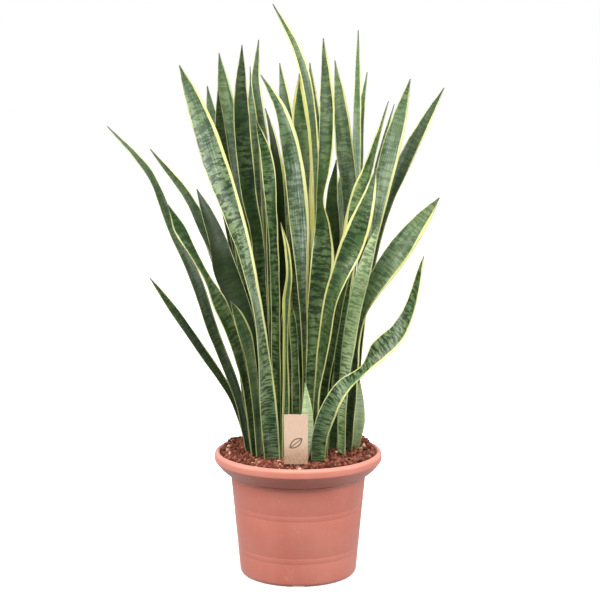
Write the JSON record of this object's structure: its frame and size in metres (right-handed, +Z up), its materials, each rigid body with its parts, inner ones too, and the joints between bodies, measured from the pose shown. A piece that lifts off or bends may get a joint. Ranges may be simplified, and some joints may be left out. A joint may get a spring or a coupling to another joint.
{
  "type": "potted snake plant",
  "caption": "Snake plant with tall, pointed, banded green leaves edged in yellow, growing from soil in a round terracotta-coloured plastic pot, with a small plain plant label.",
  "frame": {"origin": "The pot's axis, on the plane that its base stands on.", "axes": "+Z is up along the pot's axis. -Y is the front, where the plant label stands. +X is to the right as seen from the front."},
  "size_m": [0.5269, 0.3907, 0.9133],
  "materials": {
    "pot": "matte moulded plastic, terracotta colour",
    "soil": "loose moist coir and bark potting mix",
    "leaf": "waxy leaf skin, dark cross bands, yellow margins",
    "young_leaf": "waxy leaf skin, pale green with dark bands",
    "label_board": "thin kraft board",
    "label_pin": "plain pale wood"
  },
  "bodies": {
    "root": {"pot": "pot", "soil": "soil", "leaf_left_broad": "leaf", "leaf_left_short": "leaf", "leaf_left_dark": "leaf", "leaf_left_grey": "leaf", "leaf_left_twisted": "leaf", "leaf_left_arching": "leaf", "leaf_left_low": "leaf", "leaf_inner_left_tall": "leaf", "leaf_back_left_outer": "leaf", "leaf_back_left_middle": "leaf", "leaf_back_left_tall": "leaf", "leaf_back_left_slim": "leaf", "leaf_back_left_short": "leaf", "leaf_inner_left_slim": "leaf", "leaf_inner_left_banded": "leaf", "leaf_inner_left_dark": "leaf", "leaf_centre_broad": "leaf", "leaf_centre_back": "leaf", "leaf_centre_yellow": "leaf", "leaf_centre_tallest": "leaf", "leaf_centre_slim": "leaf", "leaf_centre_twisted": "leaf", "leaf_inner_right_tall": "leaf", "leaf_back_right_tall": "leaf", "leaf_back_right_slim": "leaf", "leaf_back_right_inner": "leaf", "leaf_right_yellow": "leaf", "leaf_right_upright": "leaf", "leaf_right_edge_on": "leaf", "leaf_right_outer": "leaf", "leaf_right_arching": "leaf", "leaf_right_young": "young_leaf", "leaf_right_low": "leaf", "leaf_right_broad": "leaf", "leaf_right_inner": "leaf", "leaf_young_right": "young_leaf", "leaf_young_front": "young_leaf", "leaf_front_yellow": "leaf", "leaf_front_narrow": "leaf", "leaf_inner_low_left": "leaf", "leaf_inner_low_right": "leaf", "leaf_rear_1": "leaf", "leaf_rear_2": "leaf", "leaf_rear_3": "leaf", "leaf_rear_4": "leaf", "leaf_rear_5": "leaf", "leaf_rear_6": "leaf", "leaf_rear_7": "leaf", "leaf_rear_8": "leaf", "leaf_rear_9": "leaf", "label_board": "label_board", "label_pin": "label_pin"}
  },
  "joints": []
}
